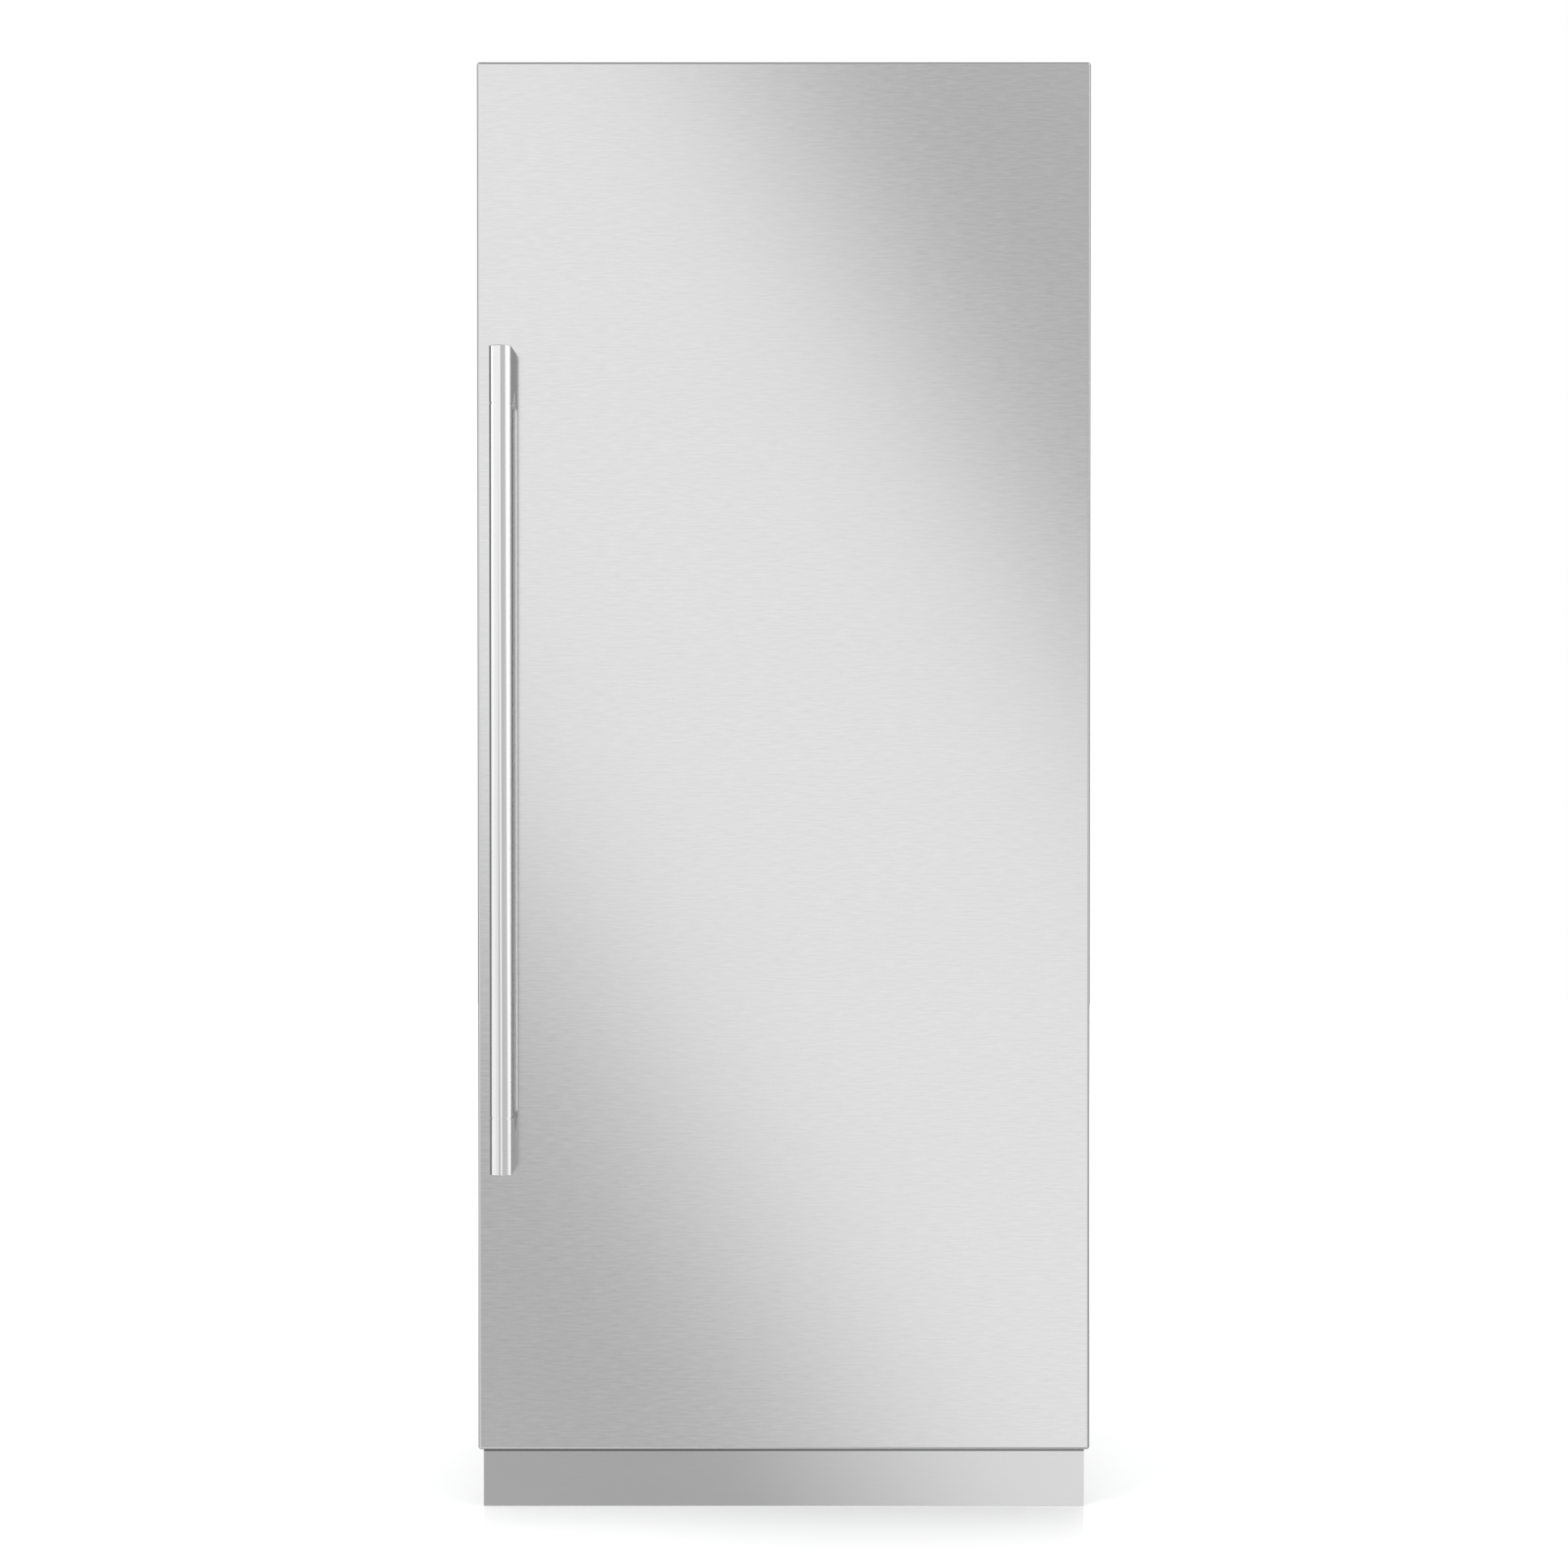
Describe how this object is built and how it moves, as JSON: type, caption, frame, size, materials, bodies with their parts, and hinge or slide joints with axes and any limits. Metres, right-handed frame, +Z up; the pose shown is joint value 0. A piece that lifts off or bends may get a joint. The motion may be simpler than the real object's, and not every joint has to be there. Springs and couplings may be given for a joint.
{
  "type": "column refrigerator",
  "caption": "Tall built-in refrigerator column: a stainless door panel with a long bar handle, recessed toe kick, glass shelves, drawers and door bins inside.",
  "frame": {"origin": "on the floor, below the middle of the bounding box", "axes": "+Z up, the door faces -Y, the hinge is on the +X side"},
  "size_m": [0.908, 0.6999, 2.155],
  "materials": {
    "stainless_steel": "vertical brushed grain, satin",
    "handle_steel": "fine brushed, brighter than the door",
    "toe_kick_steel": "satin",
    "grey_paint": "semi-matt powder coat",
    "white_paint": "semi-gloss coat",
    "zinc_sheet": "galvanised",
    "black_paint": "semi-gloss black",
    "white_plastic": "moulded, soft gloss",
    "grey_plastic": "fine grained",
    "black_plastic": "fine grained",
    "clear_plastic": "clear moulded",
    "clear_glass": "clear tempered",
    "gasket_rubber": "soft grey",
    "black_rubber": "matt",
    "foam": "rigid foam",
    "fibre_board": "pressed board",
    "bare_aluminium": "mill finish",
    "bright_zinc": "zinc plated",
    "light_lens": "frosted, lit",
    "touch_glass": "dark gloss"
  },
  "bodies": {
    "cabinet": {"air_duct_cover": "white_plastic", "anti_tip_brackets": "zinc_sheet", "back_panel": "zinc_sheet", "base_frame": "zinc_sheet", "bottom_hinge_bracket": "grey_paint", "cabinet_insulation": "foam", "compressor": "black_paint", "compressor_grommets": "black_rubber", "condenser_coil": "bare_aluminium", "condenser_fan_frame": "black_plastic", "control_panel": "touch_glass", "crisper_cover": "clear_glass", "crisper_frame": "white_plastic", "drain_pan": "black_plastic", "evaporator": "bare_aluminium", "evaporator_fan_frame": "grey_plastic", "floor_panel": "zinc_sheet", "front_frame": "grey_paint", "hinge_cover": "grey_plastic", "inner_liner": "white_plastic", "light_lenses": "light_lens", "machine_cover": "zinc_sheet", "power_inlet": "black_plastic", "shelf_frame_1": "white_plastic", "shelf_frame_2": "white_plastic", "shelf_frame_3": "white_plastic", "shelf_glass_1": "clear_glass", "shelf_glass_2": "clear_glass", "shelf_glass_3": "clear_glass", "shelf_tracks": "white_paint", "side_panel_left": "grey_paint", "side_panel_right": "grey_paint", "toe_kick": "toe_kick_steel", "top_hinge_bracket": "grey_paint", "top_panel": "grey_paint"},
    "door": {"door_panel": "stainless_steel", "door_core_board": "fibre_board", "door_pan": "grey_paint", "door_insulation": "foam", "door_liner": "white_plastic", "door_gasket": "gasket_rubber", "handle_bar": "handle_steel", "handle_blocks": "handle_steel", "hinge_bushings": "black_plastic", "dairy_box": "white_plastic"},
    "bin_1": {"door_bin_1": "clear_plastic"},
    "bin_2": {"door_bin_2": "clear_plastic"},
    "bin_3": {"door_bin_3": "clear_plastic"},
    "dairy_lid": {"dairy_lid": "clear_plastic"},
    "crisper_left": {"crisper_drawer_left": "clear_plastic"},
    "crisper_right": {"crisper_drawer_right": "clear_plastic"},
    "lower_drawer": {"lower_drawer": "clear_plastic"},
    "slider_left": {"humidity_slider_left": "grey_plastic"},
    "slider_right": {"humidity_slider_right": "grey_plastic"},
    "condenser_fan": {"condenser_fan": "black_plastic"},
    "evaporator_fan": {"evaporator_fan": "grey_plastic"},
    "roller_left": {"rear_roller_left": "black_plastic"},
    "roller_right": {"rear_roller_right": "black_plastic"},
    "leg_left": {"levelling_leg_left": "bright_zinc"},
    "leg_right": {"levelling_leg_right": "bright_zinc"}
  },
  "joints": [
    {"name": "door_hinge", "type": "hinge", "parent": "cabinet", "child": "door", "pos_m": [0.438, -0.25, 1.119], "axis": [0, 0, 1], "range_deg": [0, 115]},
    {"name": "crisper_left_slide", "type": "slide", "parent": "cabinet", "child": "crisper_left", "axis": [0, -1, 0], "range_m": [0, 0.27]},
    {"name": "crisper_right_slide", "type": "slide", "parent": "cabinet", "child": "crisper_right", "axis": [0, -1, 0], "range_m": [0, 0.27]},
    {"name": "lower_drawer_slide", "type": "slide", "parent": "cabinet", "child": "lower_drawer", "axis": [0, -1, 0], "range_m": [0, 0.15]},
    {"name": "bin_1_lift", "type": "slide", "parent": "door", "child": "bin_1", "axis": [0, 0, 1], "range_m": [0, 0.03]},
    {"name": "bin_2_lift", "type": "slide", "parent": "door", "child": "bin_2", "axis": [0, 0, 1], "range_m": [0, 0.03]},
    {"name": "bin_3_lift", "type": "slide", "parent": "door", "child": "bin_3", "axis": [0, 0, 1], "range_m": [0, 0.03]},
    {"name": "dairy_lid_hinge", "type": "hinge", "parent": "door", "child": "dairy_lid", "pos_m": [0, -0.195, 1.962], "axis": [1, 0, 0], "range_deg": [0, 75]},
    {"name": "slider_left_slide", "type": "slide", "parent": "cabinet", "child": "slider_left", "axis": [1, 0, 0], "range_m": [-0.02, 0.02]},
    {"name": "slider_right_slide", "type": "slide", "parent": "cabinet", "child": "slider_right", "axis": [1, 0, 0], "range_m": [-0.02, 0.02]},
    {"name": "condenser_fan_spin", "type": "hinge", "parent": "cabinet", "child": "condenser_fan", "pos_m": [-0.2295, 0.229, 0.123], "axis": [-1, 0, 0], "continuous": true},
    {"name": "evaporator_fan_spin", "type": "hinge", "parent": "cabinet", "child": "evaporator_fan", "pos_m": [0, 0.249, 1.266], "axis": [0, -1, 0], "continuous": true},
    {"name": "roller_left_spin", "type": "hinge", "parent": "cabinet", "child": "roller_left", "pos_m": [-0.4, 0.284, 0.024], "axis": [1, 0, 0], "continuous": true},
    {"name": "leg_left_screw", "type": "slide", "parent": "cabinet", "child": "leg_left", "axis": [0, 0, 1], "range_m": [-0.02, 0.015]},
    {"name": "roller_right_spin", "type": "hinge", "parent": "cabinet", "child": "roller_right", "pos_m": [0.4, 0.284, 0.024], "axis": [1, 0, 0], "continuous": true},
    {"name": "leg_right_screw", "type": "slide", "parent": "cabinet", "child": "leg_right", "axis": [0, 0, 1], "range_m": [-0.02, 0.015]}
  ],
  "couplings": [
    {"joint": "crisper_left_slide", "follows": "door_hinge", "m_per_rad": 0.1345},
    {"joint": "crisper_right_slide", "follows": "door_hinge", "m_per_rad": 0.1345},
    {"joint": "lower_drawer_slide", "follows": "door_hinge", "m_per_rad": 0.0747}
  ]
}
